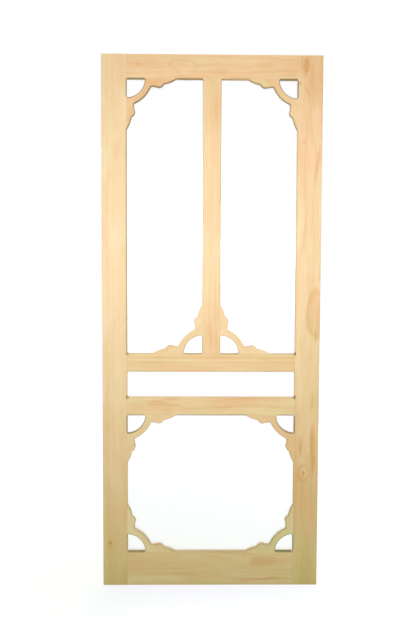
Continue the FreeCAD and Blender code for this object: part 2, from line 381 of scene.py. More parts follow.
# %% Figures
FRONT = cad_box[0].y
FIGURE_REACH = 40.0
FIGURE_WAVE = 14.0
FIGURE_WAVE_ACROSS = 26.0
FIGURE_WAVE_ALONG = 70.0


def figure(x, z, half_width, half_height, depth, rose=0.0, lift=0.0, lean=0.0, soft=1.0):
    """One oval on the door's front: its place and half sizes in millimetres, how much deeper and rosier its
    middle is, how far it pushes the rings outwards, how many degrees its head leans to the right, and over
    what share of its size its rim fades."""
    # The noise that bends the space moves it by half a wave on the whole, so the oval moves too.
    moved = FIGURE_WAVE * NOISE_MIDDLE * MM
    return dict(
        place=(x * MM + moved, FRONT + moved, z * MM + moved),
        half_sizes=(half_width * MM, FIGURE_REACH * MM, half_height * MM),
        turn=(0.0, math.radians(lean), 0.0), depth=depth, rose=rose, lift=lift, soft=soft,
    )


def figured(tree, coords, place, radius, figures):
    """The distance from the pith with the figures' lifts, and the sums of their depths and of their roses."""
    wave = grain_noise(tree, place, FIGURE_WAVE_ACROSS, FIGURE_WAVE_ALONG)["Color"]
    bent = {0: wave, 1: (FIGURE_WAVE * MM,) * 3, 2: coords}
    bent = add(tree, "VectorMath", bent, operation="MULTIPLY_ADD")
    sums = dict(lift=radius, depth=0.0, rose=0.0)
    for one in figures:
        cone = oval_cone(tree, bent, one["place"], one["half_sizes"], one["turn"])
        hump = {"Value": cone, "From Max": one["soft"]}
        hump = add(tree, "MapRange", hump, interpolation_type="SMOOTHSTEP")
        for effect in sums:
            more = {0: hump, 1: one[effect], 2: sums[effect]}
            sums[effect] = add(tree, "Math", more, operation="MULTIPLY_ADD")
    return sums["lift"], sums["depth"], sums["rose"]


print("figures wave by", FIGURE_WAVE, "mm over", FIGURE_WAVE_ACROSS, "by", FIGURE_WAVE_ALONG, "mm")

# %% Years
LATE_WOOD_FROM = 0.25
LATE_WOOD_FULL = 0.85
YEARS_IN_A_BAND = 3.5
BAND_LOW = 0.3
BAND_HIGH = 0.7


def year_rings(tree, radius, spacing):
    """Late wood from 0 to 1 by the place within the year, times the year's own strength, and the band of
    years from -0.5 to 0.5."""
    years = add(tree, "Math", {0: radius, 1: spacing}, operation="DIVIDE")
    phase = add(tree, "Math", {0: years}, operation="FRACT")
    rise = {"Value": phase, "From Min": LATE_WOOD_FROM, "From Max": LATE_WOOD_FULL}
    rise = add(tree, "MapRange", rise, interpolation_type="SMOOTHSTEP")
    fall = {"Value": phase, "From Min": LATE_WOOD_FULL}
    fall = add(tree, "MapRange", fall, interpolation_type="SMOOTHSTEP")
    late = add(tree, "Math", {0: rise, 1: fall}, operation="SUBTRACT")
    year = add(tree, "Math", {0: years}, operation="FLOOR")
    strength = add(tree, "TexWhiteNoise", {"W": year}, noise_dimensions="1D")
    late = add(tree, "Math", {0: late, 1: strength}, operation="MULTIPLY")
    run = {"W": years, "Scale": 1 / YEARS_IN_A_BAND, "Detail": 1.0}
    run = add(tree, "TexNoise", run, noise_dimensions="1D")
    band = {"Value": run, "From Min": BAND_LOW, "From Max": BAND_HIGH, "To Min": -0.5, "To Max": 0.5}
    return late, add(tree, "MapRange", band)


print("late wood at", LATE_WOOD_FROM, "to", LATE_WOOD_FULL, "of a year, bands of", YEARS_IN_A_BAND, "years")

# %% [markdown]
# The shader darkens the door along its inner edges with painted shade, most of all in the brackets' small
# holes and on the rails' undersides. It tells those places by the normal: how far it leans into an opening.
# The Bevel node gives the normal of a rounded edge, so the painted dark line runs a few millimetres onto the
# front. A board's edge is shaded only where it is free, between the boards and brackets that meet it, and
# only in front of the rabbet that holds the screen.

# %% Painted shade on the edges
# The first number is how far, in millimetres, the painted shade on an arris runs onto the front.
SHADED_ARRIS = 8.5
LEAN_FROM = 0.08
LEAN_TO = 0.40
FLAT_FROM = 0.75
FLAT_SHARE = 0.75
HOLE_RIM = 0.04
BEVEL_SAMPLES = 8


def hole_shade(tree, coords, holes):
    """A hole is (x, z, reach, share). Within reach of its middle, counted from the front, the painted shade
    is its share, and elsewhere zero."""
    painted_shade = 0.0
    for x, z, reach, share in holes:
        cone = oval_cone(tree, coords, (x, FRONT, z), (reach * MM,) * 3)
        inside = add(tree, "MapRange", {"Value": cone, "From Max": HOLE_RIM, "To Max": share})
        painted_shade = add(tree, "Math", {0: inside, 1: painted_shade}, operation="MAXIMUM")
    return painted_shade


def edge_shade(tree, coords, along, board):
    """An edge is (direction, spans, holed), and a span (start, end, share). A surface that leans that way
    gets painted shade by the share within each span, and by the holes' shares too if the edge is holed. The
    arris gets it in full, and the flat beside it by the board's flat share. The largest share counts, from
    the front back to the board's depth limit."""
    rounded = add(tree, "Bevel", {"Radius": board["arris"] * MM}, samples=BEVEL_SAMPLES)
    in_holes = hole_shade(tree, coords, board["holes"])
    painted_shade = 0.0
    for direction, spans, holed in board["edges"]:
        looks = add(tree, "VectorMath", {0: rounded, 1: direction}, operation="DOT_PRODUCT")
        full = 0.0
        for start, end, share in spans:
            within = {0: along, 1: (start + end) / 2, 2: (end - start) / 2}
            within = add(tree, "Math", within, operation="COMPARE")
            full = add(tree, "Math", {0: within, 1: share, 2: full}, operation="MULTIPLY_ADD")
        if holed:
            full = add(tree, "Math", {0: in_holes, 1: full}, operation="MAXIMUM")
        one_side = {"Value": looks, "From Min": LEAN_FROM, "From Max": LEAN_TO, "To Max": full}
        one_side = add(tree, "MapRange", one_side)
        flat = {"Value": looks, "From Min": FLAT_FROM, "To Min": 1.0, "To Max": board["flat"]}
        flat = add(tree, "MapRange", flat)
        one_side = add(tree, "Math", {0: one_side, 1: flat}, operation="MULTIPLY")
        painted_shade = add(tree, "Math", {0: one_side, 1: painted_shade}, operation="MAXIMUM")
    depth = add(tree, "SeparateXYZ", {"Vector": coords}).node.outputs["Y"]
    reached = add(tree, "Math", {0: depth, 1: board["worn_to"]}, operation="LESS_THAN")
    return add(tree, "Math", {0: painted_shade, 1: reached}, operation="MULTIPLY")


print("worn arrises", SHADED_ARRIS, "mm wide, with", FLAT_SHARE, "of their wear on the flats")

# %% [markdown]
# End grain drinks more light than the sides, and a rail's shoulder leaves a hair line beside the stile. The
# hue goes from rosy heartwood to straw, in slow patches and towards the sapwood at a board's sides. Each of
# these is a small function of its own, so that the shader after them reads as a list.

# %% End grain, shoulders and hue
JOINT_LINE = 0.7
JOINT_LINE_FULL = JOINT_LINE / 3
ROSY_PINE = "#F5CBA0"
STRAW_PINE = "#EFD3A2"
SAPWOOD = 16.0


def end_grain(tree, board):
    """The squared cosine between the normal and the grain: one on end grain and zero on the sides."""
    normal = add(tree, "NewGeometry", {}).node.outputs["Normal"]
    grain = (math.sin(board["turn"]), 0.0, math.cos(board["turn"]))
    lean = add(tree, "VectorMath", {0: normal, 1: grain}, operation="DOT_PRODUCT")
    return add(tree, "Math", {0: lean, 1: lean}, operation="MULTIPLY")


def shoulder_line(tree, along, board):
    """One within a hair line of the board's shoulders, counted from its middle, and zero between them."""
    from_middle = add(tree, "Math", {0: along}, operation="ABSOLUTE")
    line_from, line_to = board["shoulder"] - JOINT_LINE, board["shoulder"] - JOINT_LINE_FULL
    line = {"Value": from_middle, "From Min": line_from, "From Max": line_to}
    return add(tree, "MapRange", line)


def pale_pine(tree, across, patch, rose, board):
    """A mix of rosy and straw by the patch, less the figures' rose, plus the sapwood near the sides."""
    from_axis = add(tree, "Math", {0: across}, operation="ABSOLUTE")
    sap = {"Value": from_axis, "From Min": board["half_width"] - SAPWOOD, "From Max": board["half_width"]}
    sap = add(tree, "MapRange", sap, interpolation_type="SMOOTHSTEP")
    hue = add(tree, "Math", {0: patch, 1: rose}, operation="SUBTRACT")
    hue = add(tree, "Math", {0: sap, 1: board["sap"], 2: hue}, operation="MULTIPLY_ADD")
    middle = NOISE_MIDDLE + board["rosy"]
    hue = {"Value": hue, "From Min": middle - board["blotch"], "From Max": middle + board["blotch"]}
    tones = {0: add(tree, "MapRange", hue), 1: linear(ROSY_PINE), 2: linear(STRAW_PINE)}
    return add(tree, "Mix", tones, data_type="RGBA")


print("pale pine from", ROSY_PINE, "to", STRAW_PINE)

# %% [markdown]
# All effects on the wood itself are summed in one number, the depth of colour. Raising a wood colour to the
# power of that depth makes it darker and more saturated at once, as denser wood is. The painted shade on the
# edges is greyer, so it is mixed in afterwards by multiplying. Late wood is denser and takes the plane's
# polish better, and the fibres stand up a few hundredths of a millimetre.

# %% The pine shader
# The grey-green tone that the painted shade on edges and in holes multiplies into the wood.
EDGE_SHADE_TONE = "#84967C"
FIBRE_WIDTH = 1.6
FIBRE_LENGTH = 70.0
FIBRE_SHARE = 0.18
FLECK_WIDTH = 10.0
FLECK_LENGTH = 75.0
FLECK_FROM = 0.50
FLECK_FULL = 0.75
PATCH_ACROSS = 60.0
PATCH_ALONG = 240.0
PATCH_SHARE = 0.5
JOINT_SHARE = 0.8
DULL_AT_DEPTH_TWO = 0.8
EARLY_ROUGHNESS = 0.74
LATE_ROUGHNESS = 0.62
FIBRE_RELIEF = 0.6
RELIEF_HEIGHT = 0.08
RELIEF_STRENGTH = 0.35
PINE_IOR = 1.5
PLANED_GLOSS = 0.08


def planed_pine(name, board, seed):
    """Pale wood to the power of its depth of colour: the board's own depth plus late wood, bands, fibres,
    flecks, patches, figures, end grain and the line at a rail's shoulder, each times its share."""
    material, tree = new_material(name)
    coords = add(tree, "TexCoord", {}).node.outputs["Object"]
    place, grown = board_space(tree, coords, board, seed)
    in_board = add(tree, "SeparateXYZ", {"Vector": place}).node.outputs
    radius = pith_distance(tree, grown, board)
    radius, depth, rose = figured(tree, coords, place, radius, board["figures"])
    late, band = year_rings(tree, radius, board["spacing"])
    end = end_grain(tree, board)
    line = shoulder_line(tree, in_board["Z"], board)

    # Fibres are finer than the lens can show, so they are drawn a little coarse.
    fibre = grain_noise(tree, grown, FIBRE_WIDTH, FIBRE_LENGTH, detail=3.0)["Fac"]
    fleck = grain_noise(tree, grown, FLECK_WIDTH, FLECK_LENGTH, (seed, seed, 0.0))["Fac"]
    fleck = add(tree, "MapRange", {"Value": fleck, "From Min": FLECK_FROM, "From Max": FLECK_FULL})
    patch = grain_noise(tree, place, PATCH_ACROSS, PATCH_ALONG, (seed, seed, 0.0))["Color"]
    patch = add(tree, "SeparateXYZ", {"Vector": patch}).node.outputs

    depth = add(tree, "Math", {0: depth, 1: board["depth"]}, operation="ADD")
    for effect, share in [
        (late, board["rings"]), (band, board["bands"]), (fibre, FIBRE_SHARE), (fleck, board["flecks"]),
        (patch["X"], PATCH_SHARE), (end, board["end"]), (line, JOINT_SHARE),
    ]:
        depth = add(tree, "Math", {0: effect, 1: share, 2: depth}, operation="MULTIPLY_ADD")
    pale = pale_pine(tree, in_board["X"], patch["Y"], rose, board)
    deep = add(tree, "Gamma", {"Color": pale, "Gamma": depth})
    # Deeper wood also loses a little light, and paler wood gains some.
    dull = {"Value": depth, "From Min": 1.0, "From Max": 2.0, "To Min": 1.0, "To Max": DULL_AT_DEPTH_TWO}
    dull = add(tree, "MapRange", dull, clamp=False)
    colour = add(tree, "VectorMath", {0: deep, "Scale": dull}, operation="SCALE")
    # Painted shade along the free edges and in the holes is multiplied in here.
    if board["edges"]:
        colour = {0: edge_shade(tree, coords, in_board["Z"], board), 1: colour, 2: linear(EDGE_SHADE_TONE)}
        colour = add(tree, "Mix", colour, data_type="RGBA", blend_type="MULTIPLY")

    rough = {"Value": late, "To Min": EARLY_ROUGHNESS, "To Max": LATE_ROUGHNESS}
    rough = add(tree, "MapRange", rough)
    relief = add(tree, "Math", {0: fibre, 1: FIBRE_RELIEF, 2: late}, operation="MULTIPLY_ADD")
    bump = {"Height": relief, "Strength": RELIEF_STRENGTH, "Distance": RELIEF_HEIGHT * MM}
    bump = add(tree, "Bump", bump)
    pine = add(tree, "BsdfPrincipled", {
        "Base Color": colour, "Roughness": rough, "Normal": bump,
        "IOR": PINE_IOR, "Specular IOR Level": PLANED_GLOSS,
    })
    add(tree, "OutputMaterial", {"Surface": pine})
    return material


def dress(node, material):
    """Gives a node its one material."""
    nodes[node].data.materials.clear()
    nodes[node].data.materials.append(material)


print("patches", PATCH_ACROSS, "by", PATCH_ALONG, "mm, fibres", FIBRE_WIDTH, "by", FIBRE_LENGTH, "mm")

# %% [markdown]
# ## Where the brackets and free edges are
# Eight brackets sit in corners of the frame, and the quarter-round hole in each corner is where the painted
# shade is strongest. Where a board's edge is free, between whatever meets it, is worked out from the frame's
# boxes, because a list by hand would go wrong with the first change of a size.

# %% Brackets and their holes
TOUCH = 1.0 * MM
HOLE_MIDDLE = 35.0
HOLE_REACH = 50.0
TO_LEFT, TO_RIGHT = (-1.0, 0.0, 0.0), (1.0, 0.0, 0.0)
DOWN, UP = (0.0, 0.0, -1.0), (0.0, 0.0, 1.0)
# For each bracket, the two ways from its corner of the frame into the opening.
BRACKETS = {
    "bracket_upper_left": (TO_RIGHT, DOWN), "bracket_upper_right": (TO_LEFT, DOWN),
    "bracket_mullion_left": (TO_LEFT, UP), "bracket_mullion_right": (TO_RIGHT, UP),
    "bracket_lower_top_left": (TO_RIGHT, DOWN), "bracket_lower_top_right": (TO_LEFT, DOWN),
    "bracket_lower_bottom_left": (TO_RIGHT, UP), "bracket_lower_bottom_right": (TO_LEFT, UP),
}
# Each bracket gets its own amount of painted shade: first its hole's share, then its outline's.
BRACKET_SHADE = {
    "bracket_upper_left": (0.80, 0.70), "bracket_upper_right": (0.85, 0.55),
    "bracket_mullion_left": (0.45, 0.12), "bracket_mullion_right": (0.40, 0.12),
    "bracket_lower_top_left": (0.85, 0.25), "bracket_lower_top_right": (0.85, 0.30),
    "bracket_lower_bottom_left": (0.50, 0.40), "bracket_lower_bottom_right": (0.60, 0.45),
}


def bracket_corner(node):
    """The frame's corner (x, z) that a bracket sits in: where its box ends, going back from the opening."""
    low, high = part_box(node)
    way_x, way_z = BRACKETS[node]
    return (low if way_x == TO_RIGHT else high).x, (low if way_z == UP else high).z


def bracket_hole(node):
    """The middle (x, z) of a bracket's hole, its reach and the hole's share of painted shade."""
    x, z = bracket_corner(node)
    way_x, way_z = BRACKETS[node]
    step = HOLE_MIDDLE * MM
    return x + way_x[0] * step, z + way_z[2] * step, HOLE_REACH, BRACKET_SHADE[node][0]


print("holes:", {node: [round(c, 3) for c in bracket_hole(node)] for node in BRACKETS})

# %% Free edges
BOARDS = (
    "left_stile", "right_stile", "mullion", "top_rail", "upper_mid_rail", "lower_mid_rail", "bottom_rail",
)


def free_spans(node, direction):
    """The stretches of a board's edge that no other board or bracket meets, in millimetres from its middle:
    what is left of the edge between the boxes that reach it."""
    low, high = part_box(node)
    across = 0 if direction[0] else 2
    along = 2 - across
    edge = high[across] if direction[across] > 0 else low[across]
    met = []
    for other in (*BOARDS, *BRACKETS):
        start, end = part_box(other)
        reaches = start[across] - TOUCH < edge < end[across] + TOUCH
        if other != node and reaches and start[along] < high[along] and end[along] > low[along]:
            met.append((start[along], end[along]))
    met.sort()
    starts = [low[along], *(end for start, end in met)]
    ends = [*(start for start, end in met), high[along]]
    middle = (low[along] + high[along]) / 2
    free = [(start, end) for start, end in zip(starts, ends) if end - start > TOUCH]
    return [((start - middle) / MM, (end - middle) / MM) for start, end in free]


shown = [[round(c) for c in span] for span in free_spans("left_stile", TO_RIGHT)]
print("free spans of the left stile's inner edge:", shown)

# %% [markdown]
# ## The frame's seven boards
# Every board came from another log, so each has its own pith, ring spacing and strength of figure. The right
# stile is flat sawn, with flames, an oval and an eye. The left stile and the mullion are nearly quarter sawn
# and plain. The places of the figures are read off the picture, in millimetres on the door's front. Painted
# shade darkens the corners where a mid rail's head meets a stile.

# %% Plain boards
UPRIGHT = 0.0
LEVEL = math.pi / 2
NO_SHOULDER = 1e4
RABBET_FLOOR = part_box("screen_lower")[0].y
# Reach, in millimetres, of the painted shade in the corners where a mid rail meets a stile.
SILL_SHADE_REACH = 8.0
SILL_CORNERS = [
    (x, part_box(rail)[1].z) for x in (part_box("left_stile")[1].x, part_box("right_stile")[0].x)
    for rail in ("upper_mid_rail", "lower_mid_rail")
]
# Each spot of painted shade: the corner that tells which boards it is on, then the hole or the spot itself.
DARK_SPOTS = [(bracket_corner(node), bracket_hole(node)) for node in BRACKETS]
DARK_SPOTS += [(corner, (*corner, SILL_SHADE_REACH, 1.0)) for corner in SILL_CORNERS]


def board_like(node, turn, pith, spacing, worn=(), **changes):
    """A board's numbers: its middle, width, holes and free edges from the frame, its grain's turn, its pith
    in millimetres from its middle, and the years' spacing. The edge list gives an edge's direction and the
    shares of painted shade on its free spans, from the foot or the left on. Changes name what differs from
    plain, straight pine."""
    low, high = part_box(node)
    width = (high.x - low.x) if turn == UPRIGHT else (high.z - low.z)
    plain = dict(
        wander=(24.0, 16.0), ripple=5.0, rings=0.42, bands=0.25, flecks=0.15, depth=0.55, end=0.4,
        rosy=0.0, blotch=0.2, sap=0.0, shoulder=NO_SHOULDER, figures=[], holes=[],
        # The arris, the flat share and the depth limit shape the painted shade on the edges.
        arris=SHADED_ARRIS, flat=FLAT_SHARE, worn_to=RABBET_FLOOR + TOUCH,
    )
    for (x, z), hole in DARK_SPOTS:
        if low.x - TOUCH < x < high.x + TOUCH and low.z - TOUCH < z < high.z + TOUCH:
            plain["holes"].append(hole)
    edges = []
    for direction, *shares in worn:
        spans = free_spans(node, direction)
        edges.append((direction, [(*span, share) for span, share in zip(spans, shares, strict=True)], True))
    middle = tuple((low + high) / 2)
    known = dict(middle=middle, turn=turn, pith=pith, spacing=spacing, half_width=width / 2 / MM, edges=edges)
    return {**plain, **known, **changes}


print("dark spots:", len(DARK_SPOTS), "rabbet floor at", round(RABBET_FLOOR / MM, 1), "mm")

# %% Figures of the uprights
EYE = (777, 444)
LEFT_STILE_FIGURES = [
    # A small knot near the foot, with the wood that bends round it, and a faint streak at the head.
    figure(26, 167, 8, 11, 0.7, rose=-0.1, lift=6.0), figure(26, 160, 22, 60, 0.12, lift=4.0),
    figure(55, 1672, 14, 70, 0.15, rose=0.1),
    # Soft bands along the inner edge, at the head, below the rails and at the foot, and a pale stretch
    # above the rails.
    figure(76, 1985, 42, 110, 0.10, rose=0.30), figure(82, 545, 26, 230, 0.10, rose=0.15),
    figure(80, 30, 28, 80, 0.14), figure(47, 1010, 50, 130, -0.08),
    # The hue goes from rosy below the middle to straw at the foot.
    figure(47, 520, 110, 380, 0.0, rose=0.25), figure(47, 60, 110, 190, 0.08, rose=-0.30),
]
RIGHT_STILE_FIGURES = [
    # The flame at the head: a broad tongue, its dark heart, a curved line below it, the strip beside it and
    # small flecks around it, all on rosier wood.
    figure(806, 1990, 56, 165, 0.14, rose=0.15, lift=6.0, soft=0.35),
    figure(768, 1994, 16, 42, 0.42, rose=-0.05, soft=0.6), figure(764, 1962, 7, 26, 0.25),
    figure(772, 1902, 5, 34, 0.30, lean=-28), figure(750, 2002, 16, 80, 0.32, rose=0.15),
    figure(746, 1928, 7, 14, 0.45), figure(798, 1847, 4, 16, 0.20),
    figure(762, 1710, 12, 12, 0.22, rose=0.30), figure(785, 1780, 120, 460, 0.05, rose=0.30),
    # Slanted streaks between the head and the middle, and a pale patch below them.
    figure(812, 1622, 12, 100, 0.30, rose=-0.15, lift=3.0, lean=9),
    figure(768, 1364, 11, 150, 0.22, rose=-0.10, lean=7), figure(792, 1245, 44, 130, -0.08),
    # The oval above the mid rails has a dark rim and a dark tail, and dashes follow below the rails.
    figure(818, 1062, 46, 112, 0.38, rose=-0.12, soft=0.28),
    figure(821, 1060, 38, 98, -0.16, rose=0.14, soft=0.28),
    figure(816, 975, 8, 36, 0.30), figure(827, 1210, 7, 60, 0.25), figure(807, 716, 7, 60, 0.25),
    figure(764, 545, 11, 60, 0.40, rose=-0.1), figure(794, 500, 5, 40, 0.18),
    figure(810, 535, 14, 140, 0.40, rose=0.20, soft=0.6), figure(827, 500, 6, 90, 0.10, rose=-0.30),
    # The eye has a dark pupil, a pale ring and a dim rim.
    figure(*EYE, 34, 50, 0.22, lift=6.0, soft=0.5), figure(*EYE, 22, 32, -0.26, soft=0.5),
    figure(*EYE, 10, 16, 0.45),
    # The hue goes from rosy below the eye to straw at the foot.
    figure(785, 330, 110, 260, 0.12, rose=0.25), figure(785, 70, 110, 210, 0.0, rose=-0.40),
]
MULLION_FIGURES = [
    # Two faint streaks, and deeper wood between the brackets at its foot, with two fine lines.
    figure(432, 1820, 7, 80, 0.16, rose=0.15), figure(446, 1520, 8, 130, 0.20, rose=-0.15),
    figure(416, 980, 90, 220, 0.10, rose=0.10), figure(417, 975, 4, 75, 0.20, rose=-0.2),
    figure(438, 960, 4, 60, 0.15, rose=-0.2),
]
print("figures:", len(LEFT_STILE_FIGURES), len(RIGHT_STILE_FIGURES), len(MULLION_FIGURES))

# %% Figures of the rails
TOP_RAIL_FIGURES = [
    # A flame left of the middle, a fleck near the left stile, a streak on the right and a rosier right end.
    figure(305, 1992, 100, 32, 0.05, rose=0.12, lift=10.0), figure(140, 1994, 22, 8, 0.20, rose=0.15),
    figure(600, 1995, 90, 16, 0.10, rose=0.20, lift=4.0), figure(680, 2005, 150, 46, 0.05, rose=0.35),
]
LOWER_MID_FIGURES = [
    # Two flames on the left, a streak near the head and a pale line along the right half.
    figure(125, 700, 34, 22, 0.10, lift=6.0), figure(250, 692, 75, 26, 0.10, lift=10.0),
    figure(470, 735, 90, 8, 0.12, rose=0.10), figure(600, 704, 200, 12, -0.10),
]
BOTTOM_RAIL_FIGURES = [
    # Long streaks, a flame on the right, rosier wood on the left, and straw along the foot.
    figure(300, 45, 200, 10, 0.20, rose=-0.2, lift=4.0),
    figure(630, 92, 80, 26, 0.26, rose=-0.05, lift=5.0, soft=0.6),
    figure(620, 24, 170, 10, 0.40, rose=-0.1, lift=3.0), figure(190, 75, 170, 60, 0.0, rose=0.30),
    figure(420, 0, 600, 26, 0.05, rose=-0.30),
]
print("figures:", len(TOP_RAIL_FIGURES), len(LOWER_MID_FIGURES), len(BOTTOM_RAIL_FIGURES))

# %% Dress the boards
BOARD_SEED_STEP = 7.3
opening_half = (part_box("right_stile")[0].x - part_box("left_stile")[1].x) / 2 / MM

# Edge shares here are painted shade on free edges, most on the undersides of the top and lower mid rails.
boards = {
    "left_stile": board_like(
        "left_stile", UPRIGHT, pith=(150.0, 60.0), spacing=3.2, worn=[(TO_RIGHT, 0.05, 0.0, 0.55)],
        rings=0.08, bands=0.06, flecks=0.08, depth=0.56, blotch=0.35, rosy=0.05, sap=0.04,
        figures=LEFT_STILE_FIGURES,
    ),
    "right_stile": board_like(
        "right_stile", UPRIGHT, pith=(24.0, 70.0), spacing=6.0, worn=[(TO_LEFT, 0.0, 0.0, 0.05)],
        rings=0.14, bands=0.14, flecks=0.12, depth=0.62, wander=(40.0, 30.0), ripple=9.0, rosy=0.04,
        sap=0.06, figures=RIGHT_STILE_FIGURES,
    ),
    "mullion": board_like(
        "mullion", UPRIGHT, pith=(-120.0, 50.0), spacing=3.0, worn=[(TO_LEFT, 0.10), (TO_RIGHT, 0.20)],
        rings=0.12, bands=0.06, flecks=0.10, depth=0.66, blotch=0.35, rosy=0.02, sap=0.20,
        figures=MULLION_FIGURES,
    ),
    "top_rail": board_like(
        "top_rail", LEVEL, pith=(6.0, 80.0), spacing=5.5, worn=[(DOWN, 0.66, 0.40)],
        rings=0.12, bands=0.09, depth=0.62, rosy=0.20, shoulder=opening_half, figures=TOP_RAIL_FIGURES,
    ),
    "upper_mid_rail": board_like(
        "upper_mid_rail", LEVEL, pith=(-104.0, 50.0), spacing=4.0, worn=[(DOWN, 0.0), (UP, 0.08, 0.20)],
        rings=0.40, bands=0.28, depth=0.66, wander=(10.0, 8.0), ripple=3.0, shoulder=opening_half,
    ),
    "lower_mid_rail": board_like(
        "lower_mid_rail", LEVEL, pith=(8.0, 62.0), spacing=6.0, worn=[(DOWN, 0.72), (UP, 0.14)],
        rings=0.24, bands=0.24, depth=0.60, wander=(36.0, 24.0), rosy=0.04, shoulder=opening_half,
        figures=LOWER_MID_FIGURES,
    ),
    "bottom_rail": board_like(
        "bottom_rail", LEVEL, pith=(-10.0, 90.0), spacing=6.0, worn=[(UP, 0.30)], flat=1.8,
        rings=0.10, bands=0.12, flecks=0.08, depth=0.42, wander=(30.0, 24.0), rosy=0.10,
        shoulder=opening_half, figures=BOTTOM_RAIL_FIGURES,
    ),
}
for number, node in enumerate(BOARDS):
    dress(node, planed_pine("planed_pine_" + node, boards[node], number * BOARD_SEED_STEP))
print("boards dressed, with dark spots:", {node: len(board["holes"]) for node, board in boards.items()})

# %% [markdown]
# ## Brackets
# A bracket's grain runs from toe to toe, so that neither toe is short grain and breaks off. Its edges were
# cut by a scroll saw, which leaves them rough, and they get painted shade. On its outline they look away from
# the frame's corner, and in its hole towards it, and the two legs that are glued to the frame get none. So
# the shader of painted edge shade serves here too, with four directions instead of one or two.

# %% Dress the brackets
ANYWHERE = (-1000.0, 1000.0)
BRACKET_SEED = 60
BRACKET_SEED_STEP = 5.1
# Each bracket came from other wood: first its depth of colour, then how rosy it is.
BRACKET_WOOD = {
    "bracket_upper_left": (0.80, 0.18), "bracket_upper_right": (0.67, 0.06),
    "bracket_mullion_left": (0.60, 0.03), "bracket_mullion_right": (0.58, 0.02),
    "bracket_lower_top_left": (0.55, 0.08), "bracket_lower_top_right": (0.64, 0.10),
    "bracket_lower_bottom_left": (0.37, 0.08), "bracket_lower_bottom_right": (0.44, -0.14),
}


def bracket_edges(node):
    """The two ways into the opening get the outline's painted shade, and the two ways back the hole's."""
    outline = [(*ANYWHERE, BRACKET_SHADE[node][1])]
    edges = [(way, outline, False) for way in BRACKETS[node]]
    return edges + [(tuple(-step for step in way), [], True) for way in BRACKETS[node]]


for number, (node, (way_x, way_z)) in enumerate(BRACKETS.items()):
    toe_to_toe = -way_x[0] * way_z[2] * math.pi / 4
    depth, rosy = BRACKET_WOOD[node]
    board = board_like(
        node, toe_to_toe, pith=(20.0, 70.0), spacing=5.0, rings=0.12, bands=0.12, flecks=0.04,
        depth=depth, rosy=rosy, edges=bracket_edges(node), holes=[bracket_hole(node)],
    )
    dress(node, planed_pine("scroll_sawn_pine_" + node, board, BRACKET_SEED + number * BRACKET_SEED_STEP))
print(len(BRACKETS), "brackets dressed")

# %% [markdown]
# ## Beads
# The beads are thin moulded strips of the same pine with their grain along them, and dirt and painted shade
# draw a line in the gap between a bead and its board. One shader for each side is enough for them, because it
# works in the door's own space and so gives every bead other wood.

# %% Dress the beads
# Each side's bead: how its grain is turned, and the way from it into the opening.
BEAD_SIDES = {
    "left": (UPRIGHT, TO_RIGHT), "right": (UPRIGHT, TO_LEFT),
    "top": (LEVEL, DOWN), "bottom": (LEVEL, UP),
}
BEAD_SEED = 120.0
GAP_LINE = 3.0
# Share of dirt and painted shade along the gap between a bead and its board.
GAP_DIRT_AND_SHADE = 0.9

beads = [node for node in nodes if node.startswith("bead_")]
for side, (turn, inward) in BEAD_SIDES.items():
    outward = tuple(-step for step in inward)
    strip = board_like(
        "bead_lower_" + side, turn, pith=(90.0, 70.0), spacing=2.8, rings=0.3, bands=0.2,
        edges=[(outward, [(*ANYWHERE, GAP_DIRT_AND_SHADE)], False)], arris=GAP_LINE, worn_to=cad_box[1].y + TOUCH,
    )
    bead_pine = planed_pine("moulded_pine_" + side + "_beads", strip, BEAD_SEED)
    for node in beads:
        if node.endswith("_" + side):
            dress(node, bead_pine)
print(len(beads), "beads dressed")

# %% [markdown]
# ## Woven wire
# Insect screen has 18 wires to the inch across and 16 up and down, drawn thin and bright. Its waves over and
# under are a tenth of a millimetre, far finer than the lens shows, so each wire is straight: the uprights lie
# in front, the level ones behind, and they touch where they cross. A wire is a four-sided prism, flat to the
# front as if rolled, and one array holds all of a screen's wires, because thousands of separate objects would
# be slow.

# %% Wire helpers
INCH = 0.0254
WIRES_ACROSS = 18
WIRES_UP = 16
WIRE_RADIUS = 0.11 * MM
PRISM_POINTS = 8


def copied(faces, count, size):
    """The faces of count copies of a mesh with size points: copy k counts its points from k times size."""
    return (np.arange(count)[:, None, None] * size + faces[None, :, :]).reshape(-1, faces.shape[1])


def spread(low, high, pitch):
    """Places from low to high, a pitch apart, with the rest shared between both ends."""
    count = int((high - low - 2 * WIRE_RADIUS) // pitch) + 1
    return (low + high) / 2 + (np.arange(count) - (count - 1) / 2) * pitch


def prisms(starts, ends, corners):
    """Four-sided prisms: corner k of a prism's start is start + corners[k], and so at its end. The corners go
    round anticlockwise as seen looking back along the prism, so that all faces point outwards."""
    rings = np.stack([starts, ends], axis=1)[:, :, None, :] + corners[None, None, :, :]
    sides = [[k, (k + 1) % 4, (k + 1) % 4 + 4, k + 4] for k in range(4)]
    faces = np.array(sides + [[3, 2, 1, 0], [4, 5, 6, 7]])
    return rings.reshape(-1, 3), copied(faces, len(starts), PRISM_POINTS)


